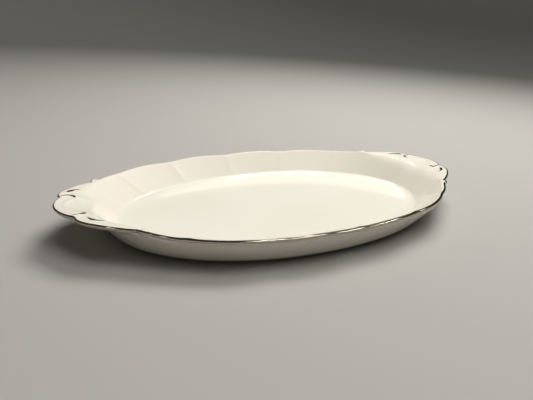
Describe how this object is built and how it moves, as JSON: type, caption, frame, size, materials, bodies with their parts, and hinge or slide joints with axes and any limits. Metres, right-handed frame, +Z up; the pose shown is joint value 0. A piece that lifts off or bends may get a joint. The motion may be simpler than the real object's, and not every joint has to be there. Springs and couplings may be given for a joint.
{
  "type": "oval serving platter",
  "caption": "Oval glazed porcelain serving platter with a scalloped flaring rim, two shaped tab handles, a foot ring and a platinum edge line with scroll strokes.",
  "frame": {"origin": "middle of the platter's bottom, in the plane of the foot ring that it stands on", "axes": "+X along the long axis from the middle to one tab handle, +Y across to one long side, +Z up out of the well"},
  "size_m": [0.36, 0.2028, 0.0294],
  "materials": {
    "glazed_porcelain": "clear glossy glaze over warm white hard porcelain",
    "bare_porcelain": "unglazed, ground smooth and matt, slightly soiled on the bearing face",
    "platinum": "burnished platinum lustre fired over the glaze, bright and mirror-like"
  },
  "bodies": {
    "root": {"platter_body": "glazed_porcelain", "foot_ring": "bare_porcelain", "platinum_edge_line": "platinum", "platinum_hook_right_far": "platinum", "platinum_tail_right_far": "platinum", "platinum_hook_right_near": "platinum", "platinum_tail_right_near": "platinum", "platinum_hook_left_far": "platinum", "platinum_tail_left_far": "platinum", "platinum_hook_left_near": "platinum", "platinum_tail_left_near": "platinum"}
  },
  "joints": []
}
